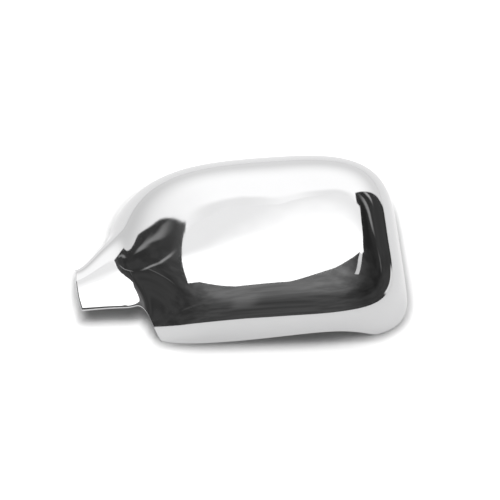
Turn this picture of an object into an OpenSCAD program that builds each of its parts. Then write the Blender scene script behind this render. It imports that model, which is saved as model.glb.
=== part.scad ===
// Clip-on cover for a car's wing mirror, moulded in one piece and plated.
// It lies as it does on a table: open side down, on its rim.
// X runs along the cover, with the arm neck at -X. Y runs from the lower edge to the upper edge.
// Z is up, and Z = 0 is the plane of the rim. The origin is the middle of the overall box there.

/* [Overall] */
// Length from the neck's mouth to the outer end
cover_len = 243.3; // [238:0.1:256]
// Width from the lower rim to the upper rim
cover_wid = 150.8; // [144:0.2:158]
// Depth from the rim to the crown
cover_depth = 51.2; // [46:0.2:56]
// Wall thickness of the moulding
wall = 2.4; // [1.8:0.1:3.2]

/* [Crown] */
// Distance from the crown's axis to the outer end
crown_to_end = 110.7; // [106:0.1:116]
// Distance from the crown's axis to the lower rim
crown_to_front = 74.6; // [71:0.1:78]
// Fullness of the outline's corners, where 2 is an ellipse
outline_full = 4.04; // [3.6:0.02:4.6]
// Fullness of the section from rim to crown, where 2 is an ellipse
section_full = 2.98; // [2.7:0.02:3.4]
// How far the crown rises towards the outer end, per mm
crown_rise = 0.066; // [0.04:0.002:0.09]
// How far the crown falls towards the upper edge, per mm
crown_fall = 0.013; // [0:0.001:0.03]
// Draft of the wall at the outer end, per mm of height
draft_end = 0.158; // [0.1:0.002:0.2]
// Draft of the upper wall, per mm of height
draft_back = 0.033; // [0:0.001:0.08]
// Bulge of the lower wall, per mm of height
bulge_front = 0.022; // [0:0.001:0.04]

/* [Shoulder and flanks] */
// Reach of the sloping shoulder behind the neck, from the crown's axis
shoulder_reach = 133.1; // [128:0.1:140]
// Direction of the shoulder, turned from the upper edge towards the neck
shoulder_turn = 62.2; // [56:0.2:68]
// Reach of the inner flank from the crown's axis, measured square to it
flank_reach = 95.3; // [92:0.1:100]
// Lean of the inner flank
flank_lean = 42.5; // [38:0.5:46]
// Reach of the chamfered corner between flank and lower wall
corner_reach = 83.6; // [80:0.1:88]
// Lean of the chamfered corner
corner_lean = 39; // [36:0.5:45]
// Direction of the chamfered corner, turned from the neck towards the lower edge
corner_turn = 33; // [29:0.2:38]
// Hollow of the chamfered corner as it runs up to the neck, per mm
corner_hollow = 0.005; // [0.002:0.0005:0.007]
// Crispness of the edge round the chamfered corner
corner_crisp = 14; // [10:1:18]

/* [Rim] */
// Rise of the arch in the lower rim
arch_rise = 11.9; // [8:0.1:13]
// Length of the arch
arch_len = 184.5; // [170:0.5:190]
// Distance from the crown's axis to the outer end of the arch
arch_end = 84; // [80:0.1:87]
// Lateness of the arch's top, where 1 puts it in the middle
arch_late = 3; // [2:0.1:3.6]
// Outward flare of the rim at the outer lower corner, as a share of the reach
flare = 0.054; // [0.03:0.001:0.06]
// Height over which the flare dies out
flare_h = 14; // [10:0.5:18]
// Direction of the flare below the outer end
flare_turn = 33; // [28:0.1:38]
// Narrowness of the flare, where more is narrower
flare_narrow = 33; // [20:1:40]

/* [Arm neck] */
// Distance from the lower rim's line to the neck's ridge
neck_ridge = 41.6; // [38:0.2:46]
// Half-width of the neck on the lower side
neck_front = 27.5; // [25:0.1:30]
// Half-width of the neck on the upper side
neck_back = 21.3; // [19:0.1:23]
// Height of the neck's ridge at its mouth
neck_h = 14.8; // [13.8:0.1:16.5]
// Rise of the ridge from the mouth to the body, per mm
neck_rise = 0.11; // [0.08:0.002:0.14]
// Loss of that rise on the lower side, per mm
neck_drop = 0.03; // [0:0.005:0.05]
// Flatness of the neck's section, where 2 is an ellipse
neck_flat = 2.8; // [2.4:0.05:3.2]
// Tightness of the fillet between the neck and the body on the upper side
fillet_tight = 9; // [7:0.2:11]
// Tightness of that fillet on the lower side
fillet_low = 20; // [12:0.5:24]
// Skew of the mouth, per mm of width
mouth_skew = 0.18; // [0.1:0.005:0.22]
// Bow of the mouth, which adds to its skew below the ridge
mouth_bow = 0.09; // [0:0.005:0.12]
// Height of the neck's lower edge at the mouth
lip_h = 13.1; // [11.5:0.1:13.5]
// Rise of that edge from the mouth to the notch, per mm
lip_rise = 0.05; // [0.02:0.005:0.09]
// Length of the rounded step from that edge down to the rim
notch_len = 17; // [13:0.5:20]
// Height of the neck's upper edge at the mouth
back_lip_h = 8; // [6:0.2:9]

/* [Inside] */
// Thickness of the stiffening ribs and of the pegs' fins
rib_t = 1.5; // [1:0.1:2.2]
// Depth of the stiffening ribs below the wall
rib_d = 4; // [2.5:0.5:7]
// Diameter of the locating pegs
peg_d = 7; // [5:0.5:9]
// Free length of a peg, from its lead-in to its collar
peg_len = 8; // [6:0.5:9]
// Height of the pegs' tips above the rim
peg_tip = 20; // [16:0.5:22]
// Distance between the locating pegs
peg_pitch = 96; // [84:1:104]
// Diameter of the collar that ends a peg
collar_d = 13; // [11:0.5:15]
// Thickness of the collar
collar_t = 1.6; // [1.2:0.1:2.4]
// Width of the snap hooks
hook_w = 12; // [8:0.5:16]
// Thickness of a hook's tongue
hook_t = 2; // [1.6:0.1:2.6]
// Height of a hook from its tip to its root
hook_len = 15; // [12:0.5:17]
// Reach of the hook's nose
nose = 1.8; // [1.2:0.1:2.4]

/* [Hidden] */

// Axis of the crown, from which the outline is measured
crown_x = cover_len / 2 - crown_to_end;
crown_y = crown_to_front - cover_wid / 2;
crown_to_back = cover_wid - crown_to_front;

// Places along the neck, as distances from the crown's axis because the body carries them
mouth_x = -cover_len / 2;
flare_back = 135.2;
flare_from = crown_x - flare_back;
fade_back = 96.4;
neck_fade_from = crown_x - fade_back;
neck_fade_len = 45;
ridge_y = neck_ridge - cover_wid / 2;
rim_corner = 71.5;
corner_x = crown_x - rim_corner;
upper_rim_corner = 110.4;
back_corner_x = crown_x - upper_rim_corner;
back_lip_slope = 0.8;
// The corner's hollow starts short of the crown's axis by corner_flat, and grows towards the neck
corner_flat = 8;
// The fillet tightens from tight_from above the crown's axis, over tight_len
tight_from = 8;
tight_len = 25;
// Spread of the neck's upper side as it runs into the shoulder
spread = 0.04;
spread_len = 24;
// The sheet's edge is square to the wall on the neck and level round the rim
edge_turn = [0.5, 0.8];
// Part of the wall that ribs, pegs and hooks reach into
root = wall / 2;
rib_pitch = 44;
rib_reach = [64, 42];
rib_steps = 12;
fin_steps = 4;
peg_lead = 1.5;
// A hook hangs clear of the wall by hook_gap, and its nose is steep below and gentle above
hook_gap = 3;
hook_tip = 8;
nose_below = 2.6;
nose_above = 1;
hook_pitch = 54;
end_hook_pitch = 52;
round_facets = 48;

// Grid of the moulding: sections from mouth to notch, to rim corner and to crown, then a fan of ribs
n_neck = 13;
n_notch = 6;
n_body = 12;
n_half = 24;
n_fan = 40;
steps = 22;
eps = 0.01;

function pos(v) = max(0, v);
function mix(a, b, t) = a + (b - a) * t;
function clamp01(t) = min(1, max(0, t));
function smooth(t) = let (c = clamp01(t)) c * c * (3 - 2 * c);

// Implicit form of the body: less than 1 inside, 1 on the surface.
// Each term is the distance beyond one side, as a share of that side's reach.
function body_form(x, y, z) =
    let (dx = x - crown_x, dy = y - crown_y, r = norm([dx, dy]) + eps,
         toward = pos((dx * cos(flare_turn) - dy * sin(flare_turn)) / r),
         s = 1 + flare * exp(-pow(z / flare_h, 2)) * pow(toward, flare_narrow),
         u = dx / s, v = dy / s,
         end = pos(u + draft_end * z) / crown_to_end,
         front = pos(-v - bulge_front * z) / crown_to_front,
         back = pos(v + draft_back * z) / crown_to_back,
         shoulder = pos(v * cos(shoulder_turn) - u * sin(shoulder_turn) + draft_back * z) / shoulder_reach,
         flank = pos(z * sin(flank_lean) - u * cos(flank_lean)) / flank_reach,
         sides = pow(end, outline_full) + pow(front, outline_full) + pow(back, outline_full)
               + pow(shoulder, outline_full) + pow(flank, outline_full),
         top = pos(z - crown_rise * u + crown_fall * v) / cover_depth,
         pillow = pow(sides, section_full / outline_full) + pow(top, section_full),
         along = pos(v * cos(corner_turn) - u * sin(corner_turn) + corner_flat),
         across = u * cos(corner_turn) + v * sin(corner_turn) + corner_hollow * along * along,
         corner = pos(z * sin(corner_lean) - across * cos(corner_lean)) / corner_reach)
    pow(pow(pillow, corner_crisp / section_full) + pow(corner, corner_crisp), 1 / corner_crisp);

// Implicit form of the arm neck: a flat arch that spreads towards the shoulder and fades inside the body
function neck_form(x, y, z) =
    let (run = pos(x - flare_from),
         grow = spread * run * run / (1 + pow(run / spread_len, 2)),
         v = y - ridge_y - grow / 2,
         half = v < 0 ? neck_front + grow / 2 : neck_back + grow * 1.5,
         rise = neck_rise - neck_drop * clamp01(-v / neck_front),
         h = neck_h + rise * (x - mouth_x))
    pow(pow(abs(v) / half, neck_flat) + pow(abs(z) / h, neck_flat) + eps * eps, 1 / neck_flat)
    + pow(pos(x - neck_fade_from) / neck_fade_len, 2);

// Both forms joined with a fillet, soft on the upper side and tight on the lower side
function form(x, y, z) =
    let (tight = mix(fillet_tight, fillet_low, smooth((crown_y + tight_from - y) / tight_len)))
    pow(pow(body_form(x, y, z), -tight) + pow(neck_form(x, y, z), -tight), -1 / tight);

function form_at(p) = form(p.x, p.y, p.z);
function outward(p) =
    let (g = [form(p.x + eps, p.y, p.z) - form(p.x - eps, p.y, p.z),
              form(p.x, p.y + eps, p.z) - form(p.x, p.y - eps, p.z),
              form(p.x, p.y, p.z + eps) - form(p.x, p.y, p.z - eps)])
    g / norm(g);

// Distance from point c along direction d to the surface, by halving
function reach(c, d, lo = 0, hi = 200, n = steps) =
    n == 0 ? (lo + hi) / 2 :
    let (m = (lo + hi) / 2)
    form_at(c + m * d) < 1 ? reach(c, d, m, hi, n - 1) : reach(c, d, lo, m, n - 1);
function wall_point(c, d) = c + reach(c, d) * d;

// Height of the trimmed edge above the table
function lip_z(x) = lip_h + lip_rise * (x - mouth_x);
function front_trim(x) =
    let (s = clamp01((x - crown_x - arch_end) / arch_len + 1),
         below = pos(1 - pos(corner_x - x) / notch_len))
    max(arch_rise * sin(180 * pow(s, arch_late)), lip_z(x) * (1 - below * below));
function back_trim(x) = min(back_lip_h, pos(back_lip_slope * (back_corner_x - x)));
function above_trim(p, x, front) = p.z - (front ? front_trim(x) : back_trim(x));

// The notch is where the rounded step reaches the neck's edge
notch_x = corner_x - notch_len;

// A section's face is skewed and bowed at the mouth, and flat and square from the notch on
function skew_at(x, t) =
    (mouth_skew + mouth_bow * cos(t)) * clamp01((notch_x - x) / (notch_x - mouth_x));
function axis_y(x) = mix(ridge_y, crown_y, smooth((x - mouth_x) / (crown_x - mouth_x)));
function ray(x, t) = [skew_at(x, t) * cos(t), -cos(t), sin(t)];
function centre(x) = [x, axis_y(x), 0];
function section_point(x, t) = wall_point(centre(x), ray(x, t));
function fan_point(a, t) = wall_point([crown_x, crown_y, 0], [cos(t) * cos(a), cos(t) * sin(a), sin(t)]);

// Angle at which a section, or a rib of the fan, meets the trimmed edge
function section_start(x, front, lo = 0, hi = 85, n = 14) =
    n == 0 ? (lo + hi) / 2 :
    let (m = (lo + hi) / 2, p = section_point(x, front ? m : 180 - m))
    above_trim(p, x, front) < 0 ? section_start(x, front, m, hi, n - 1)
                                : section_start(x, front, lo, m, n - 1);
function fan_start(a, lo = 0, hi = 20, n = 12) =
    a >= 0 ? 0 :
    n == 0 ? (lo + hi) / 2 :
    let (m = (lo + hi) / 2, p = fan_point(a, m))
    above_trim(p, p.x, true) < 0 ? fan_start(a, m, hi, n - 1) : fan_start(a, lo, m, n - 1);

stations = concat(
    [for (i = [0:n_neck - 1]) mix(mouth_x, notch_x, i / n_neck)],
    [for (i = [0:n_notch - 1]) mix(notch_x, corner_x, i / n_notch)],
    [for (i = [0:n_body]) mix(corner_x, crown_x, i / n_body)]);
n_left = len(stations) - 1;
rows = 2 * n_half + 1;

left_points = [for (x = stations)
    let (f = section_start(x, true), b = section_start(x, false))
    for (j = [0:rows - 1])
        section_point(x, j <= n_half ? mix(f, 90, j / n_half) : mix(90, 180 - b, (j - n_half) / n_half))];
fan_points = [for (k = [1:n_fan - 1])
    let (a = mix(-90, 90, k / n_fan), s = fan_start(a))
    for (j = [0:n_half - 1])
        fan_point(a, mix(s, 90, j / n_half))];
outer = concat(left_points, fan_points);

// Inner face of a wall point: square to the wall, but level where the sheet stands on the table
function inner_point(p, edge) =
    let (n = outward(p), flat = norm([n.x, n.y]),
         level = edge ? 1 - smooth((n.z - edge_turn[0]) / (edge_turn[1] - edge_turn[0])) : 0,
         across = [n.x, n.y, 0] / max(flat * flat, eps))
    p - wall * (level * across + (1 - level) * n);
n_left_points = len(left_points);
inner = [for (i = [0:len(outer) - 1])
    let (row = i < n_left_points ? i % rows : (i - n_left_points) % n_half,
         edge = row == 0 || (i < n_left_points && row == rows - 1))
    inner_point(outer[i], edge)];

// Index of a grid point in the left sections and in the fan, which shares the crown's section
function at_left(i, j) = i * rows + j;
function at_fan(k, j) =
    j == n_half ? at_left(n_left, n_half) :
    k == 0 ? at_left(n_left, j) :
    k == n_fan ? at_left(n_left, rows - 1 - j) :
    n_left_points + (k - 1) * n_half + j;

left_faces = [for (i = [0:n_left - 1], j = [0:rows - 2])
    let (a = at_left(i, j), b = at_left(i + 1, j), c = at_left(i + 1, j + 1), d = at_left(i, j + 1))
    each [[a, c, b], [a, d, c]]];
fan_faces = [for (k = [0:n_fan - 1], j = [0:n_half - 1])
    let (a = at_fan(k, j), b = at_fan(k + 1, j), c = at_fan(k + 1, j + 1), d = at_fan(k, j + 1))
    each (j == n_half - 1 ? [[a, c, b]] : [[a, c, b], [a, d, c]])];
outer_faces = concat(left_faces, fan_faces);
n_outer = len(outer);

// The open edge: lower rim, outer end, upper rim, then back round the mouth
edge_loop = concat(
    [for (i = [0:n_left]) at_left(i, 0)],
    [for (k = [1:n_fan]) at_fan(k, 0)],
    [for (i = [n_left - 1:-1:0]) at_left(i, rows - 1)],
    [for (j = [rows - 2:-1:1]) at_left(0, j)]);
edge_faces = [for (i = [0:len(edge_loop) - 1])
    let (a = edge_loop[i], b = edge_loop[(i + 1) % len(edge_loop)])
    each [[a, b, b + n_outer], [a, b + n_outer, a + n_outer]]];

module shell() {
    polyhedron(
        points = concat(outer, inner),
        faces = concat(
            outer_faces,
            [for (f = outer_faces) [f[0] + n_outer, f[2] + n_outer, f[1] + n_outer]],
            edge_faces),
        convexity = 6);
}

// Height of the outer face above a place on the rim's plane
function roof(x, y) = reach([x, y, 0], [0, 0, 1]);

// Profile of a stiffening rib along a line, hung from the middle of the wall
function rib_profile(at, x0, x1, n = rib_steps) = concat(
    [for (i = [0:n]) let (u = mix(x0, x1, i / n)) [u, at(u) - root]],
    [for (i = [n:-1:0]) let (u = mix(x0, x1, i / n)) [u, at(u) - wall - rib_d]]);

// Profile of a peg's fin, from the middle of the wall down to the middle of the collar
function fin_profile(at, middle_u, low) = concat(
    [for (i = [0:fin_steps]) let (u = middle_u + collar_d * (i / fin_steps - 0.5)) [u, at(u) - root]],
    [[middle_u + collar_d / 2, low], [middle_u - collar_d / 2, low]]);

// A thin upright web with its profile drawn along X at a given y, or along Y at a given x
module web_along(y, profile) {
    translate([0, y + rib_t / 2, 0])
        rotate([90, 0, 0])
            linear_extrude(rib_t)
                polygon(profile);
}
module web_across(x, profile) {
    translate([x - rib_t / 2, 0, 0])
        rotate([90, 0, 90])
            linear_extrude(rib_t)
                polygon(profile);
}
module rib_along(y, x0, x1) {
    web_along(y, rib_profile(function (u) roof(u, y), x0, x1));
}
module rib_across(x, y0, y1) {
    web_across(x, rib_profile(function (u) roof(x, u), y0, y1));
}

// Locating peg: a lead-in and a round pin up to a collar, on crossed fins that hang from the wall
module peg(x, y) {
    pin_z = peg_tip + peg_lead;
    collar_z = pin_z + peg_len;
    low = collar_z + collar_t / 2;
    translate([x, y, peg_tip])
        cylinder(d1 = peg_d - 2 * peg_lead, d2 = peg_d, h = peg_lead, $fn = round_facets);
    translate([x, y, pin_z])
        cylinder(d = peg_d, h = peg_len + collar_t, $fn = round_facets);
    translate([x, y, collar_z])
        cylinder(d = collar_d, h = collar_t, $fn = round_facets);
    web_along(y, fin_profile(function (u) roof(u, y), x, low));
    web_across(x, fin_profile(function (u) roof(x, u), y, low));
}

// Snap hook on a shelf from the wall: a tongue that points at the rim, with a nose on its inner side.
// It stands square to the wall that it is met by when looking out from (x, y) in the direction turn.
module hook(x, y, turn) {
    top = hook_tip + hook_len;
    base = wall_point([x, y, top], [cos(turn), sin(turn), 0]);
    facing = outward(base);
    tongue = wall + hook_gap;
    face = tongue + hook_t;
    translate([base.x, base.y, 0])
        rotate([90, 0, atan2(facing.y, facing.x) + 180])
            translate([0, 0, -hook_w / 2])
                linear_extrude(hook_w)
                    polygon([[root, top], [face, top], [face, hook_tip + nose_below + nose_above],
                             [face + nose, hook_tip + nose_below], [face, hook_tip], [tongue, hook_tip],
                             [tongue, top - hook_t], [root, top - hook_t]]);
}

// The moulding is set so that the middle of its overall box is the origin
xs = [for (p = outer) p.x];
ys = [for (p = outer) p.y];
middle = [(min(xs) + max(xs)) / 2, (min(ys) + max(ys)) / 2, 0];

module mirror_cover() {
    color("silver")
        translate(-middle) {
            shell();
            for (side = [-1, 1]) {
                rib_along(crown_y + side * rib_pitch / 2, crown_x - rib_reach.x, crown_x + rib_reach.x);
                peg(crown_x + side * peg_pitch / 2, crown_y);
                hook(crown_x, crown_y + side * end_hook_pitch / 2, 0);
                for (x = [-hook_pitch, 0, hook_pitch])
                    hook(crown_x + x, crown_y, side * 90);
            }
            for (x = [-peg_pitch / 2, 0, peg_pitch / 2])
                rib_across(crown_x + x, crown_y - rib_reach.y, crown_y + rib_reach.y);
        }
}

mirror_cover();
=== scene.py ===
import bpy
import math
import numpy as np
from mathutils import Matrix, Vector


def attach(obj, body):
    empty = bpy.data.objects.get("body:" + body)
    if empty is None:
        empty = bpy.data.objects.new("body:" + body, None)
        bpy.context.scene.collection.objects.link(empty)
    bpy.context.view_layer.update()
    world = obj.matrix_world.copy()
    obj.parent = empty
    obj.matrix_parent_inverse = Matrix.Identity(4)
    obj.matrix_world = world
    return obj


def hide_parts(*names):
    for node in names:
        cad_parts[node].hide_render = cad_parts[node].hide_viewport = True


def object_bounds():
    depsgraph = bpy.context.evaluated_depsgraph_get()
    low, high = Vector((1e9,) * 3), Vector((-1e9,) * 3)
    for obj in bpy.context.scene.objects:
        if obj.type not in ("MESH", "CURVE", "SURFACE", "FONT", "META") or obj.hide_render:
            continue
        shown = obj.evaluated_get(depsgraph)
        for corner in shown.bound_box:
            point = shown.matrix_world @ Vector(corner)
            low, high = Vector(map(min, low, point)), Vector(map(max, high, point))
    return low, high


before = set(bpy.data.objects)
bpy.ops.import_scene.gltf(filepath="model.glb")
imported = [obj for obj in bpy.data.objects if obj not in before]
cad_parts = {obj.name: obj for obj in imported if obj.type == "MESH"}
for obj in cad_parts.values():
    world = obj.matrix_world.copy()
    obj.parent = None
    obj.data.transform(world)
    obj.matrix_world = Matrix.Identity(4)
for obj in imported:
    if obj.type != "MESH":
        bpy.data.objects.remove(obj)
cad_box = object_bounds()

# %% [markdown]
# A chrome wing mirror cover is nearly all reflection. What a person sees on it is the lamp
# above, the wall behind and the dark room in front, bent by the curves of the moulding.
# So two things matter most here: a very smooth surface with true normals, and surroundings
# that are laid out as a photographer lays them out round a bright object.
# Sizes are written in millimetres, as in the drawing of the part, and scaled once.

MM = 0.001
root_body = "root"

def rad(degrees):
    return math.radians(degrees)

def into_scene(name, data):
    """An object made from a mesh or a camera, and placed in the scene."""
    thing = bpy.data.objects.new(name, data)
    bpy.context.scene.collection.objects.link(thing)
    return thing

print("CAD box in mm:", [[round(v / MM, 2) for v in corner] for corner in cad_box])

# %% [markdown]
# The camera stands where the photographer stood: high up in front of the cover, a little
# to the left, with a long lens. The shift moves the cover to its place in the square picture.

# %% Camera
camera_target = np.array([-14.769, 10.328, 20.0])
camera_azimuth, camera_elevation = -2.2, 57.0
camera_distance = 800.0
focal_share = 1067.0 / 500.0
target_in_picture = (219.07 / 500.0, 229.29 / 500.0)

back = np.array([math.sin(rad(camera_azimuth)) * math.cos(rad(camera_elevation)),
                 -math.cos(rad(camera_azimuth)) * math.cos(rad(camera_elevation)),
                 math.sin(rad(camera_elevation))])
camera_data = bpy.data.cameras.new("camera")
camera_data.sensor_width = 36.0
camera_data.lens = focal_share * camera_data.sensor_width
camera_data.shift_x = 0.5 - target_in_picture[0]
camera_data.shift_y = target_in_picture[1] - 0.5
camera_data.clip_start = 0.01
camera_data.clip_end = 50.0
camera = into_scene("camera", camera_data)
camera.location = Vector((camera_target + back * camera_distance) * MM)
camera.rotation_euler = Vector(back).to_track_quat("Z", "Y").to_euler()
bpy.context.scene.camera = camera
bpy.context.scene.view_settings.view_transform = "Standard"
print("camera at", [round(v, 3) for v in camera.location], "lens", round(camera_data.lens, 1))

# %% [markdown]
# The form of the cover is one formula. Each side of the body gives a number that says how
# far out a point is, as a share of that side's reach, and the numbers are blended into one
# that is 1 on the skin. The arm neck has a formula of its own, and both are joined with a
# fillet. A formula is chosen over modelling by hand because the normals come from it too,
# and chrome shows the smallest dent in a normal.

# %% The form's sizes
cover_len, cover_wid, cover_depth, wall = 243.3, 150.8, 51.2, 2.4
crown_to_end, crown_to_front = 110.7, 74.6
outline_full, section_full = 4.04, 2.98
crown_rise, crown_fall = 0.066, 0.013
draft_end, draft_back, bulge_front = 0.158, 0.033, 0.022
shoulder_reach, shoulder_turn = 133.1, rad(62.2)
flank_reach, flank_lean = 95.3, rad(42.5)
corner_reach, corner_lean, corner_turn, corner_crisp = 83.6, rad(39), rad(33), 14
corner_hollow, corner_flat = 0.005, 8.0
arch_rise, arch_len, arch_end, arch_late = 11.9, 184.5, 84.0, 3.0
flare, flare_h, flare_turn, flare_narrow = 0.054, 14.0, rad(33), 33.0
neck_ridge, neck_front, neck_back = 41.6, 27.5, 21.3
neck_h, neck_rise, neck_drop, neck_flat = 14.8, 0.11, 0.03, 2.8
fillet_tight, fillet_low, tight_from, tight_len = 20.0, 20.0, 8.0, 25.0
mouth_skew, mouth_bow, lip_h, lip_rise, notch_len = 0.18, 0.09, 13.1, 0.05, 17.0
back_lip_h, back_lip_slope = 8.0, 0.8

crown_x = cover_len / 2 - crown_to_end
crown_y = crown_to_front - cover_wid / 2
crown_to_back = cover_wid - crown_to_front
mouth_x = -cover_len / 2
flare_from = crown_x - 135.2
fade_from, fade_len = crown_x - 96.4, 45.0
ridge_y = neck_ridge - cover_wid / 2
corner_x, back_corner_x = crown_x - 71.5, crown_x - 110.4
notch_x = corner_x - notch_len
spread, spread_len = 0.04, 24.0
tiny = 0.01

# %% Body's formula
def pos(v):
    return np.maximum(v, 0.0)

def smooth(t):
    c = np.clip(t, 0, 1)
    return c * c * (3 - 2 * c)

def body_form(x, y, z):
    dx, dy = x - crown_x, y - crown_y
    r = np.sqrt(dx * dx + dy * dy) + tiny
    toward = pos((dx * math.cos(flare_turn) - dy * math.sin(flare_turn)) / r)
    s = 1 + flare * np.exp(-(z / flare_h) ** 2) * toward ** flare_narrow
    u, v = dx / s, dy / s
    end = pos(u + draft_end * z) / crown_to_end
    front = pos(-v - bulge_front * z) / crown_to_front
    behind = pos(v + draft_back * z) / crown_to_back
    shoulder = pos(v * math.cos(shoulder_turn) - u * math.sin(shoulder_turn) + draft_back * z) / shoulder_reach
    flank = pos(z * math.sin(flank_lean) - u * math.cos(flank_lean)) / flank_reach
    sides = sum(part ** outline_full for part in (end, front, behind, shoulder, flank))
    top = pos(z - crown_rise * u + crown_fall * v) / cover_depth
    pillow = sides ** (section_full / outline_full) + top ** section_full
    along = pos(v * math.cos(corner_turn) - u * math.sin(corner_turn) + corner_flat)
    across = u * math.cos(corner_turn) + v * math.sin(corner_turn) + corner_hollow * along * along
    corner = pos(z * math.sin(corner_lean) - across * math.cos(corner_lean)) / corner_reach
    return (pillow ** (corner_crisp / section_full) + corner ** corner_crisp) ** (1 / corner_crisp)

print("body's formula at its outer end:", body_form(crown_x + crown_to_end, crown_y, 0.0).round(3))

# %% Neck's formula
def neck_form(x, y, z):
    run = pos(x - flare_from)
    grow = spread * run * run / (1 + (run / spread_len) ** 2)
    v = y - ridge_y - grow / 2
    half = np.where(v < 0, neck_front + grow / 2, neck_back + grow * 1.5)
    rise = neck_rise - neck_drop * np.clip(-v / neck_front, 0, 1)
    h = neck_h + rise * (x - mouth_x)
    arch = ((np.abs(v) / half) ** neck_flat + (np.abs(z) / h) ** neck_flat + tiny * tiny) ** (1 / neck_flat)
    return arch + (pos(x - fade_from) / fade_len) ** 2

print("neck's formula on its ridge at the mouth:", neck_form(mouth_x, ridge_y, neck_h).round(3))

# %% Both joined with a fillet
def form(p):
    """Less than 1 inside the cover's solid, 1 on the skin, more outside."""
    x, y, z = p[..., 0], p[..., 1], p[..., 2]
    tight = fillet_tight + (fillet_low - fillet_tight) * smooth((crown_y + tight_from - y) / tight_len)
    body, neck = np.maximum(body_form(x, y, z), 1e-6), neck_form(x, y, z)
    return (body ** -tight + neck ** -tight) ** (-1 / tight)

def outward(p, e=0.02):
    """Direction square to the skin, from the slope of the formula."""
    steps = np.eye(3) * e
    g = np.stack([form(p + s) - form(p - s) for s in steps], -1)
    return g / np.linalg.norm(g, axis=-1, keepdims=True)

far_out, halvings = 200.0, 40

def wall_point(c, d):
    """Where the line from c in the direction d meets the skin, found by halving."""
    c, d = np.broadcast_arrays(np.asarray(c, float), np.asarray(d, float))
    lo, hi = np.zeros(c.shape[:-1]), np.full(c.shape[:-1], far_out)
    for _ in range(halvings):
        m = (lo + hi) / 2
        inside = form(c + m[..., None] * d) < 1
        lo, hi = np.where(inside, m, lo), np.where(inside, hi, m)
    return c + ((lo + hi) / 2)[..., None] * d

print("skin above the crown's axis at", wall_point([crown_x, crown_y, 0], [0, 0, 1]).round(2))

# %% [markdown]
# The lower rim isn't level. It has a long shallow arch, then at the inner end it climbs in
# a straight cut to the arm neck, whose lower edge stands clear of the table. These lines are
# heights over the table, and the mesh is made to start exactly on them, so that the edge is
# one clean line and not a cut through faces.

# %% Trimmed edge
def front_trim(x):
    s = np.clip((x - crown_x - arch_end) / arch_len + 1, 0, 1)
    below = pos(1 - pos(corner_x - x) / notch_len)
    lip = (lip_h + lip_rise * (x - mouth_x)) * (1 - below * below)
    return np.maximum(arch_rise * np.sin(np.pi * s ** arch_late), lip)

def back_trim(x):
    return np.minimum(back_lip_h, pos(back_lip_slope * (back_corner_x - x)))

def axis_y(x):
    return ridge_y + (crown_y - ridge_y) * smooth((x - mouth_x) / (crown_x - mouth_x))

def section_point(x, t):
    x, t = np.broadcast_arrays(x, t)
    skew = (mouth_skew + mouth_bow * np.cos(t)) * np.clip((notch_x - x) / (notch_x - mouth_x), 0, 1)
    centre = np.stack([x, axis_y(x), 0 * x], -1)
    return wall_point(centre, np.stack([skew * np.cos(t), -np.cos(t), np.sin(t)], -1))

def fan_point(a, t):
    a, t = np.broadcast_arrays(a, t)
    d = np.stack([np.cos(t) * np.cos(a), np.cos(t) * np.sin(a), np.sin(t)], -1)
    return wall_point(np.array([crown_x, crown_y, 0.0]), d)

angle_halvings = 26

def start_angle(point, trim, lift, shape, most):
    """Angle at which each section rises past its trimmed edge by the given lift."""
    lo, hi = np.zeros(shape), np.full(shape, most)
    for _ in range(angle_halvings):
        m = (lo + hi) / 2
        p = point(m)
        below = p[..., 2] - trim(p[..., 0]) < lift
        lo, hi = np.where(below, m, lo), np.where(below, hi, m)
    return (lo + hi) / 2

# %% [markdown]
# The mesh runs in sections across the cover from the neck's mouth to the crown, then in a
# fan round the crown to the outer end. Each section starts a little above the trimmed edge,
# by the radius of its rounding. The true edge is worked out as well, and the rounded lip of
# the sheet is spanned between the two.

# %% Grid of the outer skin
edge_round, mouth_round, inner_round = 0.6, 1.5, 0.4
n_neck, n_notch, n_body, n_half, n_fan = 44, 16, 64, 84, 144
most_across, most_in_fan = rad(85), rad(25)

def stations(first):
    return np.concatenate([np.linspace(first, notch_x, n_neck, endpoint=False),
                           np.linspace(notch_x, corner_x, n_notch, endpoint=False),
                           np.linspace(corner_x, crown_x, n_body + 1)])

def sections(x, lift):
    f = start_angle(lambda t: section_point(x, t), front_trim, lift, x.shape, most_across)
    b = start_angle(lambda t: section_point(x, np.pi - t), back_trim, lift, x.shape, most_across)
    share = np.linspace(0, 1, n_half + 1)
    up = f[:, None] + (np.pi / 2 - f[:, None]) * share
    down = np.pi / 2 + (np.pi / 2 - b[:, None]) * share[1:]
    return section_point(x[:, None], np.concatenate([up, down], 1))

def fan(lift):
    a = np.linspace(-np.pi / 2, np.pi / 2, n_fan + 1)[1:-1]
    s = start_angle(lambda t: fan_point(a, t), lambda x: np.where(a < 0, front_trim(x), 0),
                    lift, a.shape, most_in_fan)
    if lift == 0:
        s = np.where(a >= 0, 0, s)
    share = np.linspace(0, 1, n_half + 1)[:-1]
    return fan_point(a[:, None], s[:, None] + (np.pi / 2 - s[:, None]) * share)

left = sections(stations(mouth_x + mouth_round), edge_round)
right = fan(edge_round)
left_edge = sections(stations(mouth_x), 0.0)
right_edge = fan(0.0)
n_left, rows = left.shape[0] - 1, left.shape[1]
print("sections", left.shape, "fan", right.shape)

# %% Indices round the open edge
def at_left(i, j):
    return i * rows + j

def at_fan(k, j):
    if j == n_half:
        return at_left(n_left, n_half)
    if k == 0:
        return at_left(n_left, j)
    if k == n_fan:
        return at_left(n_left, rows - 1 - j)
    return (n_left + 1) * rows + (k - 1) * n_half + j

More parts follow.
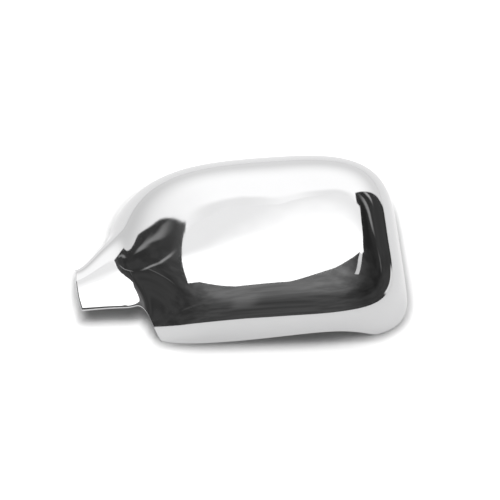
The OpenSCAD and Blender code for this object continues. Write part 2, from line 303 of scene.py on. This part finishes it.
def skin_faces():
    faces = [(at_left(i, j), at_left(i + 1, j), at_left(i + 1, j + 1), at_left(i, j + 1))
             for i in range(n_left) for j in range(rows - 1)]
    for k in range(n_fan):
        faces += [(at_fan(k, j), at_fan(k + 1, j), at_fan(k + 1, j + 1), at_fan(k, j + 1))
                  for j in range(n_half - 1)]
        faces.append((at_fan(k, n_half - 1), at_fan(k + 1, n_half - 1), at_fan(k, n_half)))
    return faces

loop = np.array([at_left(i, 0) for i in range(n_left + 1)] + [at_fan(k, 0) for k in range(1, n_fan + 1)]
                + [at_left(i, rows - 1) for i in range(n_left - 1, -1, -1)]
                + [at_left(0, j) for j in range(rows - 2, 0, -1)])
print("points round the edge:", len(loop))

# %% [markdown]
# The inner face lies one wall thickness inside the outer one. Where the sheet stands on the
# table its end is level, as the mould's parting face leaves it, and on the neck it is square
# to the wall. The lip is then rounded, more on the outside, where polishing and plating
# have softened it, than on the inside.

# %% Inner face and true edge
outer = np.concatenate([left.reshape(-1, 3), right.reshape(-1, 3)])
edge_outer = np.concatenate([left_edge.reshape(-1, 3), right_edge.reshape(-1, 3)])[loop]
n_outer = outward(outer)
steep_until, steep_fade = 0.5, 0.3

def inner_of(p, n, at_edge):
    flat = np.sqrt(n[:, 0] ** 2 + n[:, 1] ** 2)
    level = (1 - smooth((n[:, 2] - steep_until) / steep_fade)) * at_edge
    across = np.stack([n[:, 0], n[:, 1], 0 * flat], -1) / np.maximum(flat * flat, tiny)[:, None]
    return p - wall * (level[:, None] * across + (1 - level[:, None]) * n)

on_edge = np.zeros(len(outer))
on_edge[loop] = 1
on_edge[[at_left(0, j) for j in range(1, rows - 1)]] = 0
inner = inner_of(outer, n_outer, on_edge)
edge_on = on_edge[loop]
n_edge = outward(edge_outer)
edge_inner = inner_of(edge_outer, n_edge, edge_on)
print("points on each face of the sheet:", len(outer))

# %% Rounded lip
outer_steps, inner_steps = 6, 4

def unit(v):
    return v / np.linalg.norm(v, axis=-1, keepdims=True)

rise_out = outer[loop] - edge_outer
rise_in = inner[loop] - edge_inner
rise = rise_out + rise_in
across = unit(edge_inner - edge_outer)
n_face = -unit(rise - (rise * across).sum(-1)[:, None] * across)
points, normals = [outer, inner], [n_outer, -n_outer]

radius = (edge_round * edge_on + mouth_round * (1 - edge_on))[:, None]
for theta in np.linspace(0, np.pi / 2, outer_steps + 1)[1:]:
    points.append(edge_outer + (1 - np.sin(theta)) * rise_out + (1 - np.cos(theta)) * radius * across)
    normals.append(unit(np.cos(theta) * n_edge + np.sin(theta) * n_face))
for theta in np.linspace(np.pi / 2, 0, inner_steps + 1)[:-1]:
    points.append(edge_inner + (1 - np.sin(theta)) * rise_in - (1 - np.cos(theta)) * inner_round * across)
    normals.append(unit(-np.cos(theta) * n_edge + np.sin(theta) * n_face))

rings = [2 * len(outer) + ring * len(loop) + np.arange(len(loop))
         for ring in range(outer_steps + inner_steps)]
bands = [loop] + rings + [loop + len(outer)]
points, normals = np.concatenate(points), np.concatenate(normals)
middle = (points.min(0) + points.max(0)) / 2 * [1, 1, 0]

# %% Faces of the sheet
shell_faces = skin_faces()
n_skin = len(shell_faces)
shell_faces += [tuple(i + len(outer) for i in reversed(f)) for f in shell_faces]
for a, b in zip(bands[:-1], bands[1:]):
    for i in range(len(loop)):
        k = (i + 1) % len(loop)
        shell_faces.append((a[i], b[i], b[k], a[k]))
print("points", len(points), "faces", len(shell_faces), "middle", middle.round(3))
print("extent in mm", (points.min(0) - middle).round(3), (points.max(0) - middle).round(3))

# %% Making mesh objects
def make_object(name, verts, faces, vert_normals=None, materials=(), face_material=None):
    """A smooth mesh object from points in the drawing's millimetres, moved to the frame's origin."""
    mesh = bpy.data.meshes.new(name)
    mesh.from_pydata([tuple(v) for v in (verts - middle) * MM], [],
                     [tuple(int(i) for i in f) for f in faces])
    mesh.update()
    mesh.polygons.foreach_set("use_smooth", [True] * len(mesh.polygons))
    for material in materials:
        mesh.materials.append(material)
    if face_material is not None:
        mesh.polygons.foreach_set("material_index", face_material)
    if vert_normals is not None:
        mesh.normals_split_custom_set_from_vertices([tuple(n) for n in vert_normals])
    return into_scene(name, mesh)

# %% [markdown]
# Real plating is never a perfect mirror. The moulded plastic under it has long shallow waves
# and a fine orange peel, and polishing leaves patches that are a touch duller than others.
# Both platings need these effects with different amounts, so each effect is a node group,
# built once and placed in each material with its own numbers. Sizes are in metres here,
# because object coordinates are.

# %% Materials and node groups
def new_material(name):
    """A material, its node tree and its shader."""
    material = bpy.data.materials.new(name)
    material.use_nodes = True
    return material, material.node_tree, material.node_tree.nodes["Principled BSDF"]

def new_group(name, inputs, output):
    """A node group with named inputs, where None stands for a position, and one number output."""
    group = bpy.data.node_groups.new(name, "ShaderNodeTree")
    for label, value in inputs:
        kind = "NodeSocketVector" if value is None else "NodeSocketFloat"
        socket = group.interface.new_socket(label, in_out="INPUT", socket_type=kind)
        if value is not None:
            socket.default_value = value
    group.interface.new_socket(output, in_out="OUTPUT", socket_type="NodeSocketFloat")
    return group, group.nodes.new("NodeGroupInput").outputs, group.nodes.new("NodeGroupOutput").inputs[output]

# %% Nodes in a tree
def connect(tree, value, socket):
    if isinstance(value, (int, float)):
        socket.default_value = value
    else:
        tree.links.new(value, socket)

def math_in(tree, operation, a, b=0.0, c=0.0):
    node = tree.nodes.new("ShaderNodeMath")
    node.operation = operation
    for value, socket in zip((a, b, c), node.inputs):
        connect(tree, value, socket)
    return node.outputs[0]

def noise_in(tree, position, size, detail=2.0, roughness=0.5):
    node = tree.nodes.new("ShaderNodeTexNoise")
    tree.links.new(position, node.inputs["Vector"])
    connect(tree, math_in(tree, "DIVIDE", 1.0, size), node.inputs["Scale"])
    node.inputs["Detail"].default_value = detail
    node.inputs["Roughness"].default_value = roughness
    return node.outputs[0]

def ramp_in(tree, value, start, end, low=0.0, high=1.0, kind="SMOOTHSTEP"):
    """low up to start, high from end on, and a smooth or straight change between them."""
    node = tree.nodes.new("ShaderNodeMapRange")
    node.interpolation_type = kind
    tree.links.new(value, node.inputs["Value"])
    for label, number in (("From Min", start), ("From Max", end), ("To Min", low), ("To Max", high)):
        connect(tree, number, node.inputs[label])
    return node.outputs["Result"]

def mix_in(tree, share, plain, other):
    """plain where share is 0, other where it is 1."""
    node = tree.nodes.new("ShaderNodeMix")
    tree.links.new(share, node.inputs["Factor"])
    connect(tree, plain, node.inputs["A"])
    connect(tree, other, node.inputs["B"])
    return node.outputs["Result"]

def placed(tree, group, values):
    """A node group in a tree, with a number or a link for each of its inputs."""
    node = tree.nodes.new("ShaderNodeGroup")
    node.node_tree = group
    for label, value in values.items():
        connect(tree, value, node.inputs[label])
    return node.outputs[0]

# %% Moulded waves
moulded_waves, given, result = new_group("moulded_waves", [
    ("Position", None), ("Wave Size", 0.03), ("Grain Size", 0.002), ("Grain Share", 0.05)], "Height")
waves = noise_in(moulded_waves, given["Position"], given["Wave Size"], 1.0, 0.3)
grain = noise_in(moulded_waves, given["Position"], given["Grain Size"], 1.5)
moulded_waves.links.new(math_in(moulded_waves, "MULTIPLY_ADD", grain, given["Grain Share"], waves), result)

# %% Polished patches
polished_patches, given, result = new_group("polished_patches", [
    ("Position", None), ("Patch Size", 0.04), ("Least", 0.03), ("Most", 0.07)], "Value")
patches = noise_in(polished_patches, given["Position"], given["Patch Size"], 4.0, 0.6)
noise_low, noise_high = 0.3, 0.7
spread_out = ramp_in(polished_patches, patches, noise_low, noise_high, given["Least"], given["Most"], "LINEAR")
polished_patches.links.new(spread_out, result)
print("groups:", [g.name for g in bpy.data.node_groups])

# %% [markdown]
# The bright side is a near mirror of nickel and chromium. The inner side went through the
# same baths, but it lies over the mould's spark-eroded grain and nobody polishes it, so it
# is a dull satin grey. One function makes both, from a colour range, a roughness range, and
# the waves and their depth.

# %% Plating materials
blue_tint, tone_patch_share = 0.004, 2.3

def plating(name, tones, roughness, patch, wave, grain, share, depth):
    material, tree, shader = new_material(name)
    shader.inputs["Metallic"].default_value = 1.0
    position = tree.nodes.new("ShaderNodeTexCoord").outputs["Object"]
    tree.links.new(placed(tree, polished_patches, {"Position": position, "Patch Size": patch * MM,
                                                   "Least": roughness[0], "Most": roughness[1]}),
                   shader.inputs["Roughness"])
    tone = tree.nodes.new("ShaderNodeMix")
    tone.data_type = "RGBA"
    tree.links.new(placed(tree, polished_patches, {"Position": position, "Least": 0.0, "Most": 1.0,
                                                   "Patch Size": tone_patch_share * patch * MM}),
                   tone.inputs["Factor"])
    for label, grey in zip(("A", "B"), tones):
        tone.inputs[label].default_value = (grey, grey, grey + blue_tint, 1)
    tree.links.new(tone.outputs["Result"], shader.inputs["Base Color"])
    bump = tree.nodes.new("ShaderNodeBump")
    bump.inputs["Distance"].default_value = depth * MM
    tree.links.new(placed(tree, moulded_waves, {"Position": position, "Wave Size": wave * MM,
                                                "Grain Size": grain * MM, "Grain Share": share}),
                   bump.inputs["Height"])
    tree.links.new(bump.outputs["Normal"], shader.inputs["Normal"])
    return material

chrome = plating("bright_plating", tones=(0.64, 0.66), roughness=(0.03, 0.055),
                 patch=35.0, wave=26.0, grain=2.2, share=0.012, depth=0.16)
inside = plating("dull_plating", tones=(0.40, 0.46), roughness=(0.30, 0.42),
                 patch=28.0, wave=18.0, grain=0.45, share=0.16, depth=0.25)
print("materials:", chrome.name, "and", inside.name)

# %% Shell with its two sides
face_material = [0] * n_skin + [1] * n_skin
face_material += [0] * (outer_steps * len(loop))
face_material += [1] * (len(shell_faces) - len(face_material))
lo, hi = np.array(cad_box[0]) / MM, np.array(cad_box[1]) / MM
points = np.clip(points - middle, lo, hi) + middle
shell = make_object("plated_shell", points, shell_faces, normals, [chrome, inside], face_material)
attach(shell, root_body)
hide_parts("mirror_cover")
print("faces of bright and dull plating:", face_material.count(0), face_material.count(1))

# %% [markdown]
# Inside, the moulding carries low ribs against drumming, two pegs that find their holes in
# the mirror's housing, and snap hooks round the wall. They are built from the same form, so
# that each one grows out of the wall it stands on.

# %% Heights under the crown
root_in = wall / 2

def roof(x, y):
    x, y = np.broadcast_arrays(np.asarray(x, float), np.asarray(y, float))
    return wall_point(np.stack([x, y, 0 * x], -1), np.array([0.0, 0, 1]))[..., 2]

def ceiling(x, y):
    """Height of the wall's inner face."""
    top = roof(x, y)
    n = outward(np.stack([np.broadcast_to(x, top.shape), np.broadcast_to(y, top.shape), top], -1))
    return top - wall / n[..., 2]

print("ceiling over the crown's axis", round(float(ceiling(crown_x, crown_y)), 2))

# %% Ribs
rib_t, rib_d, rib_pitch = 1.5, 4.0, 44.0
rib_reach_x, rib_reach_y = 64.0, 42.0
peg_pitch = 96.0

def tube_faces(n, m):
    """Faces that join n rings of m points each, with a cap on both ends."""
    faces = [(i * m + j, i * m + (j + 1) % m, (i + 1) * m + (j + 1) % m, (i + 1) * m + j)
             for i in range(n - 1) for j in range(m)]
    return faces + [tuple(reversed(range(m))), tuple((n - 1) * m + j for j in range(m))]

def bar(path, side, sections_at):
    """A closed bar: the same section, given as (across, height) pairs, at each point of a path."""
    verts = [(point[0] + side[0] * a, point[1] + side[1] * a, h)
             for point, section in zip(path, sections_at) for a, h in section]
    return verts, tube_faces(len(path), len(sections_at[0]))

def rib_section(at, side):
    """Rounded bottom, a little draft, and a small fillet where the rib leaves the wall."""
    half, fillet, r = rib_t / 2, 0.8, 0.35
    pairs = [(-half - fillet, -0.5), (-half - fillet * 0.3, 0.25), (-half, fillet), (-half + 0.1, rib_d - r),
             (-half + 0.1 + r * 0.3, rib_d - r * 0.3), (-half + 0.1 + r, rib_d)]
    pairs = pairs + [(-a, d) for a, d in reversed(pairs)]
    return [(a, float(ceiling(at[0] + side[0] * a, at[1] + side[1] * a)) - d) for a, d in pairs]

def rib(start, end, side, n=40):
    path = [(start[0] + (end[0] - start[0]) * i / n, start[1] + (end[1] - start[1]) * i / n)
            for i in range(n + 1)]
    return bar(path, side, [rib_section(q, side) for q in path])

def merge(parts):
    verts, faces = [], []
    for v, f in parts:
        faces += [tuple(i + len(verts) for i in face) for face in f]
        verts += list(v)
    return np.array(verts, float), faces

ribs = [rib((crown_x - rib_reach_x, y), (crown_x + rib_reach_x, y), (0, 1))
        for y in (crown_y - rib_pitch / 2, crown_y + rib_pitch / 2)]
ribs += [rib((x, crown_y - rib_reach_y), (x, crown_y + rib_reach_y), (-1, 0))
         for x in (crown_x - peg_pitch / 2, crown_x, crown_x + peg_pitch / 2)]
ribs_v, ribs_f = merge(ribs)
print("ribs", len(ribs_v), "points")

# %% Pegs
peg_d, peg_len, peg_tip, peg_lead, collar_d, collar_t = 7.0, 8.0, 20.0, 1.5, 13.0, 1.6

def turned(x, y, profile, n=64):
    verts = [(x + r * math.cos(2 * math.pi * k / n), y + r * math.sin(2 * math.pi * k / n), h)
             for r, h in profile for k in range(n)]
    return verts, tube_faces(len(profile), n)

def peg(x, y):
    """A peg with a lead-in and a collar, and two crossed fins that carry it from the wall."""
    shoulder, base = peg_tip + peg_lead, peg_tip + peg_lead + peg_len
    r, tip, collar = peg_d / 2, peg_d / 2 - peg_lead, collar_d / 2
    profile = [(tip - 0.3, peg_tip), (tip, peg_tip + 0.12), (r - 0.25, shoulder - 0.25), (r, shoulder + 0.3),
               (r, base - 0.5), (r + 0.15, base - 0.15), (r + 0.5, base), (collar - 0.3, base),
               (collar, base + 0.3), (collar, base + collar_t - 0.3), (collar - 0.3, base + collar_t)]
    parts = [turned(x, y, profile)]
    half = rib_t / 2
    for side in ((0, 1), (1, 0)):
        along = (side[1], -side[0])
        path = [(x + along[0] * a, y + along[1] * a) for a in np.linspace(-collar / 1.05, collar / 1.05, 9)]
        cuts = []
        for q in path:
            top = float(ceiling(q[0], q[1])) + 0.5
            low = base + collar_t - 0.4
            cuts.append([(-half, low), (-half, top - 1.3), (-half - 0.6, top),
                         (half + 0.6, top), (half, top - 1.3), (half, low)])
        parts.append(bar(path, side, cuts))
    return merge(parts)

pegs_v, pegs_f = merge([peg(crown_x + s * peg_pitch / 2, crown_y) for s in (-1, 1)])
print("pegs", len(pegs_v), "points")

# %% Snap hooks
hook_w, hook_t, hook_len, hook_tip, hook_gap, nose = 12.0, 2.0, 15.0, 8.0, 3.0, 1.8
nose_below, nose_above = 2.6, 1.0
hook_pitch, end_hook_pitch = 54.0, 52.0

def hook(x, y, turn):
    """A tongue that hangs from the wall that the turn points at, with a nose at its tip."""
    top = hook_tip + hook_len
    base = wall_point([x, y, top], [math.cos(rad(turn)), math.sin(rad(turn)), 0])
    n = outward(base)
    facing = np.array([n[0], n[1]]) / math.hypot(n[0], n[1])
    side = (-facing[1], facing[0])
    tongue, r = wall + hook_gap, 0.35
    face = tongue + hook_t
    widest = hook_tip + nose_below
    outline = [(root_in, top), (face - r, top), (face - 0.3 * r, top - 0.3 * r), (face, top - r),
               (face, widest + nose_above + 0.4), (face + 0.25, widest + nose_above - 0.1),
               (face + nose - 0.3, widest + 0.3), (face + nose, widest), (face + nose - 0.25, widest - 0.45),
               (face + 0.2, hook_tip + 0.3), (face - 0.2, hook_tip), (tongue + 0.3, hook_tip),
               (tongue, hook_tip + 0.3), (tongue, top - hook_t - 0.8),
               (tongue - 0.25, top - hook_t - 0.25), (tongue - 0.8, top - hook_t), (root_in, top - hook_t)]
    c = np.array([base[0], base[1]])
    verts, rounding = [], 0.3
    slices = [(-hook_w / 2, rounding), (-hook_w / 2 + rounding, 0),
              (hook_w / 2 - rounding, 0), (hook_w / 2, rounding)]
    centre = np.mean(outline, 0)
    for a, shrink in slices:
        for d, h in outline:
            q = np.array([d, h])
            if shrink and d > root_in:
                q = q + (centre - q) / np.linalg.norm(centre - q) * shrink
            p = c - facing * q[0] + np.array(side) * a
            verts.append((p[0], p[1], q[1]))
    return verts, tube_faces(len(slices), len(outline))

hooks = [hook(crown_x, crown_y + s * end_hook_pitch / 2, 0) for s in (-1, 1)]
hooks += [hook(crown_x + dx, crown_y, s * 90) for s in (-1, 1) for dx in (-hook_pitch, 0, hook_pitch)]
hooks_v, hooks_f = merge(hooks)
print("hooks", len(hooks_v), "points")

# %% Placing the inner features
import bmesh

def sharpen(thing, degrees=40):
    """Outward faces, smooth shading and crisp corners for a small moulded feature."""
    work = bmesh.new()
    work.from_mesh(thing.data)
    bmesh.ops.recalc_face_normals(work, faces=work.faces)
    for e in work.edges:
        e.smooth = len(e.link_faces) == 2 and e.calc_face_angle(0) < rad(degrees)
    work.to_mesh(thing.data)
    work.free()

features = (("stiffening_ribs", ribs_v, ribs_f), ("locating_pegs", pegs_v, pegs_f),
            ("snap_hooks", hooks_v, hooks_f))
for name, verts, faces in features:
    feature = make_object(name, verts, faces, materials=[inside])
    sharpen(feature)
    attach(feature, root_body)
    print(name, "has", len(feature.data.polygons), "faces")

# %% [markdown]
# The cover lies on a white table. To the camera and in the chrome the table shows the white
# of the photograph's background, while the light that it sends back to the cover stays that
# of ordinary white paint. The chrome shows the dark room past the table's front edge, so the
# strip in front of that edge is a piece of its own, which reflections don't see. Two values
# are stored at the points of the table's mesh, and both paint shade onto it for the camera:
# how far a point is out of a painted shadow round the cover's outline, and how far under the
# cover it lies, where painted shade darkens the table. Both are 0 at the cover's outline, so
# the mesh can stay coarse.

# %% Table
table_front, table_reach = -380.0, 1800.0
paint_white, mirrored_white, painted_shade_under = 0.85, 0.58, 0.5
table, tree, paint = new_material("table_paint")
paint.inputs["Roughness"].default_value = 0.9
paint.inputs["Specular IOR Level"].default_value = 0.0
rays = tree.nodes.new("ShaderNodeLightPath")
mirrored = math_in(tree, "MAXIMUM", rays.outputs["Is Glossy Ray"], rays.outputs["Is Transmission Ray"])

def stored(name):
    """A value that is stored at the points of the table's mesh."""
    node = tree.nodes.new("ShaderNodeAttribute")
    node.attribute_name = name
    return node.outputs["Fac"]

# Painted shade: to the camera the table's white is darkened by up to a half where it lies under the cover,
# fading out towards the cover's outline.
seen_white = math_in(tree, "MULTIPLY_ADD", stored("under"), -painted_shade_under, 1.0)
other_white = mix_in(tree, mirrored, paint_white, mirrored_white)
whiteness = mix_in(tree, rays.outputs["Is Camera Ray"], other_white, seen_white)
tree.links.new(whiteness, paint.inputs["Base Color"])

# %% White away from the cover, with a painted shadow round its outline
white_glow = 0.62
# Painted shadow: to the camera the table's glow is nothing at the cover's outline and grows to full over about
# 9 mm. This lays a dark band round the cover on top of the real shadow from the lamps.
seen_glow = math_in(tree, "MULTIPLY", stored("away"), white_glow)
other_glow = mix_in(tree, mirrored, 0.0, white_glow)
glow = mix_in(tree, rays.outputs["Is Camera Ray"], other_glow, seen_glow)
paint.inputs["Emission Color"].default_value = (1, 1, 1, 1)
tree.links.new(glow, paint.inputs["Emission Strength"])

# %% Outline of the painted shadow and painted shade
footprint = (edge_outer - middle)[:, :2]
painted_shadow_reach, painted_shade_fade = 9.0, 6.0

def shares(p):
    """How far each point is out of the painted shadow, and how far under the cover, where shade is painted,
    both from 0 to 1.
    """
    gap = np.sqrt(((p[:, None] - footprint[None]) ** 2).sum(-1)).min(1)
    a, b = footprint, np.roll(footprint, -1, 0)
    spans = (a[None, :, 1] > p[:, None, 1]) != (b[None, :, 1] > p[:, None, 1])
    rise = np.where(np.abs(b[:, 1] - a[:, 1]) < 1e-9, 1e-9, b[:, 1] - a[:, 1])
    meets = a[None, :, 0] + (p[:, None, 1] - a[None, :, 1]) / rise * (b - a)[None, :, 0]
    inside_it = (spans & (p[:, None, 0] < meets)).sum(1) % 2 == 1
    away, under = smooth(gap / painted_shadow_reach), smooth(gap / painted_shade_fade)
    return np.where(inside_it, 0, away), np.where(inside_it, under, 0)

print("footprint of", len(footprint), "points")

# %% Table's two pieces
table_cell = 4.0

def table_piece(name, xs, ys):
    grid = np.array([(x, y) for y in ys for x in xs])
    n = len(xs)
    faces = [(j * n + i, j * n + i + 1, (j + 1) * n + i + 1, (j + 1) * n + i)
             for j in range(len(ys) - 1) for i in range(n - 1)]
    mesh = bpy.data.meshes.new(name)
    mesh.from_pydata([(x * MM, y * MM, 0) for x, y in grid], [], faces)
    for label, share in zip(("away", "under"), shares(grid)):
        mesh.attributes.new(label, "FLOAT", "POINT").data.foreach_set("value", share)
    mesh.materials.append(table)
    piece = into_scene(name, mesh)
    print(name, "has", len(faces), "faces")
    return piece

near_x, near_y = np.arange(-160, 161, table_cell), np.arange(-112, 113, table_cell)
far_x = [-table_reach] + list(near_x) + [table_reach]
table_piece("table_top", far_x, [table_front] + list(near_y) + [table_reach])
table_piece("table_front", [-table_reach, table_reach], [-table_reach, table_front]).visible_glossy = False

# %% [markdown]
# A large white panel hangs over the table. It isn't a plain rectangle: its front is cut back
# by whatever hung in front of it, and the crown of the cover shows that outline plainly. It
# is a flat mesh that glows, at a height that puts its edges where the photograph has them.

# %% Panel overhead
panel_height, fade_slope = 900.0, -0.16
panel_outline = [(-737, -37), (-500, -30), (-337, -136), (-195, -250), (15, -250), (126, -126),
                 (357, 119), (502, 269), (695, 454), (760, 440), (950, 860), (540, 780), (250, 690),
                 (0, 640), (-300, 665), (-591, 705)]
sliver_outline = [(552, -60), (625, -60), (676, 150), (760, 440), (712, 470), (640, 300)]

def glowing_card(name, outline, front_glow, back_glow, fade_from, fade_to):
    """A flat card whose glow changes smoothly from front to back, between two distances."""
    mesh = bpy.data.meshes.new(name)
    mesh.from_pydata([(x * MM, y * MM, panel_height * MM) for x, y in outline], [],
                     [tuple(range(len(outline)))])
    card = into_scene(name, mesh)
    card.visible_camera = False
    material, tree, shader = new_material(name)
    shader.inputs["Base Color"].default_value = (0.02, 0.02, 0.02, 1)
    shader.inputs["Emission Color"].default_value = (1, 1, 1, 1)
    place = tree.nodes.new("ShaderNodeSeparateXYZ")
    tree.links.new(tree.nodes.new("ShaderNodeTexCoord").outputs["Object"], place.inputs[0])
    sloping = math_in(tree, "MULTIPLY_ADD", place.outputs["X"], fade_slope, place.outputs["Y"])
    tree.links.new(ramp_in(tree, sloping, fade_from * MM, fade_to * MM, front_glow, back_glow),
                   shader.inputs["Emission Strength"])
    mesh.materials.append(material)
    print(name, "at", panel_height, "mm")

glowing_card("overhead_panel", panel_outline, front_glow=2.1, back_glow=1.2, fade_from=430.0, fade_to=660.0)
glowing_card("panel_side_strip", sliver_outline, front_glow=0.8, back_glow=0.95, fade_from=0.0, fade_to=300.0)

# %% [markdown]
# The rest of the room is the world: a bright wall behind, darkness in front and at the sides,
# and a few faint streaks where light catches edges in the dark. Directions are turned into
# two numbers, u to the right and v to the back, both divided by the height. Straight lines
# in the room are straight in u and v, so borders and streaks are easy to lay out.

# %% World directions
world = bpy.data.worlds.new("studio")
bpy.context.scene.world = world
world.use_nodes = True
sky = world.node_tree
sky.nodes.clear()
out = sky.nodes.new("ShaderNodeOutputWorld")
light = sky.nodes.new("ShaderNodeBackground")
light.inputs["Color"].default_value = (1, 1, 1, 1)
sky.links.new(light.outputs[0], out.inputs[0])
direction = sky.nodes.new("ShaderNodeTexCoord").outputs["Generated"]
split = sky.nodes.new("ShaderNodeSeparateXYZ")
sky.links.new(direction, split.inputs[0])
right_part, back_part, height_part = split.outputs
least_height = 0.001
above = math_in(sky, "MAXIMUM", height_part, least_height)
u = math_in(sky, "DIVIDE", right_part, above)
v = math_in(sky, "DIVIDE", back_part, above)

def times(*values):
    product = values[0]
    for value in values[1:]:
        product = math_in(sky, "MULTIPLY", product, value)
    return product

def ramp(value, start, end, low=0.0, high=1.0):
    return ramp_in(sky, value, start, end, low, high)

# %% Streak group
streak_group, given, result = new_group("streak", [(label, 0.0) for label in (
    "U", "V", "Centre U", "Centre V", "Turn", "Half Length", "Half Width")], "Mask")
streak_core = 0.2

def in_group(operation, *values):
    return math_in(streak_group, operation, *values)

du = in_group("SUBTRACT", given["U"], given["Centre U"])
dv = in_group("SUBTRACT", given["V"], given["Centre V"])
c, s = in_group("COSINE", given["Turn"]), in_group("SINE", given["Turn"])
along = in_group("MULTIPLY_ADD", du, c, in_group("MULTIPLY", dv, s))
beside = in_group("SUBTRACT", in_group("MULTIPLY", dv, c), in_group("MULTIPLY", du, s))
shares_out = [in_group("DIVIDE", in_group("ABSOLUTE", distance), given[reach])
              for distance, reach in ((along, "Half Length"), (beside, "Half Width"))]
faded = [ramp_in(streak_group, share_out, streak_core, 1.0, 1.0, 0.0) for share_out in shares_out]
streak_group.links.new(in_group("MULTIPLY", *faded), result)

def streak(start, end, half_width):
    """A soft streak from start to end, both given as (u, v)."""
    span = (end[0] - start[0], end[1] - start[1])
    return placed(sky, streak_group, {
        "U": u, "V": v, "Centre U": (start[0] + end[0]) / 2, "Centre V": (start[1] + end[1]) / 2,
        "Turn": math.atan2(span[1], span[0]), "Half Length": math.hypot(*span) / 2, "Half Width": half_width})

# %% [markdown]
# The wall is dimmest near the table's height and at the far left. The dark room is lighter
# overhead than at the sides, with soft folds like those of a dark curtain. A ramp names the
# two ends of a change first and the two levels after them.

# %% Bright wall and dark room
wall_light = times(ramp(height_part, 0.12, 0.55, 1.02, 1.52), ramp(right_part, -0.75, -0.2, 0.85, 1.0))
right_shade = ramp(right_part, 0.25, 0.65, 1.0, 0.38)
left_shade = ramp(right_part, -0.65, -0.25, 0.65, 1.0)
room_light = times(ramp(height_part, 0.58, 0.97, 0.08, 0.22), times(right_shade, left_shade))
folds = sky.nodes.new("ShaderNodeVectorMath")
folds.operation = "MULTIPLY"
sky.links.new(direction, folds.inputs[0])
folds.inputs[1].default_value = (2.4, 2.4, 4.2)
cloth = noise_in(sky, folds.outputs["Vector"], 0.5, 3.0, 0.55)
room_light = times(room_light, ramp(cloth, noise_low, noise_high, 0.78, 1.25))
to_the_right = math_in(sky, "MAXIMUM", right_part, 0.0)
room_light = math_in(sky, "MULTIPLY_ADD", to_the_right, ramp(height_part, 0.35, 0.52, 0.03, 0.0), room_light)

# %% Streaks in the dark
# Each row is start, end, half width and added light.
streaks = [
    ((-2.20, 1.42), (-1.20, 1.10), 0.12, 0.28),
    ((-1.55, 1.24), (-0.76, 0.93), 0.05, 0.26),
    ((-1.95, 0.15), (-0.90, 0.58), 0.04, 0.34),
    ((-1.20, 0.44), (-0.72, 0.73), 0.035, 0.34),
    ((-1.66, 0.40), (-1.30, -0.12), 0.04, 0.10),
    ((1.22, 1.36), (2.30, 1.78), 0.07, 0.50),
    ((0.96, 1.10), (1.90, 1.34), 0.05, 0.34),
    ((1.85, 1.25), (1.95, 0.20), 0.14, 0.10),
    ((-0.14, -0.25), (-0.28, -2.2), 0.12, 0.06),
    ((0.25, 0.05), (0.62, -0.05), 0.16, 0.05),
    ((-2.53, -1.75), (-0.43, -0.72), 0.10, 0.03),
]
for start, end, half_width, lightness in streaks:
    room_light = math_in(sky, "MULTIPLY_ADD", streak(start, end, half_width), lightness, room_light)
dim_width, dim_light = 0.09, -0.30
for start, end in (((-0.72, 0.84), (0.12, 0.76)), ((-0.10, 0.76), (1.10, 1.02))):
    wall_light = math_in(sky, "MULTIPLY_ADD", streak(start, end, dim_width), dim_light, wall_light)
print("streaks:", len(streaks), "light and 2 dim ones")

# %% [markdown]
# Over the middle the border runs level. On each side it steps up, and then slopes on up and
# outward. Low down on the far right the wall shows again, beside the dark room.

# %% Border between wall and room
border_v, left_from, left_slope, left_back, left_most = 0.93, -0.74, 0.653, -0.12, 1.6
right_from, right_slope, step_right, step_left = 0.94, 0.7, 0.5, 0.25
border_blur = 0.008

left_run = math_in(sky, "MAXIMUM", math_in(sky, "SUBTRACT", left_from, u), left_back)
left_border = math_in(sky, "MULTIPLY_ADD", math_in(sky, "MINIMUM", left_run, left_most), left_slope, border_v)
left_border = math_in(sky, "SUBTRACT", left_border, ramp(u, -0.63, -0.60, 0.0, step_left))
right_run = math_in(sky, "MAXIMUM", math_in(sky, "SUBTRACT", u, right_from), 0.0)
right_border = math_in(sky, "MULTIPLY_ADD", right_run, right_slope, ramp(u, 0.84, 0.93, 0.0, step_right))
border = math_in(sky, "ADD", left_border, right_border)
behind = ramp(math_in(sky, "SUBTRACT", v, border), -border_blur, border_blur)
low = times(ramp(height_part, 0.07, 0.085, 1.0, 0.0), ramp(right_part, 0.92, 0.97))
bright = math_in(sky, "MAXIMUM", behind, low)

# %% Light that each ray sees
white = 1.0
surroundings = mix_in(sky, bright, room_light, wall_light)
rays = sky.nodes.new("ShaderNodeLightPath")
sky.links.new(mix_in(sky, rays.outputs["Is Camera Ray"], surroundings, white), light.inputs["Strength"])
print("nodes in the world:", len(sky.nodes))
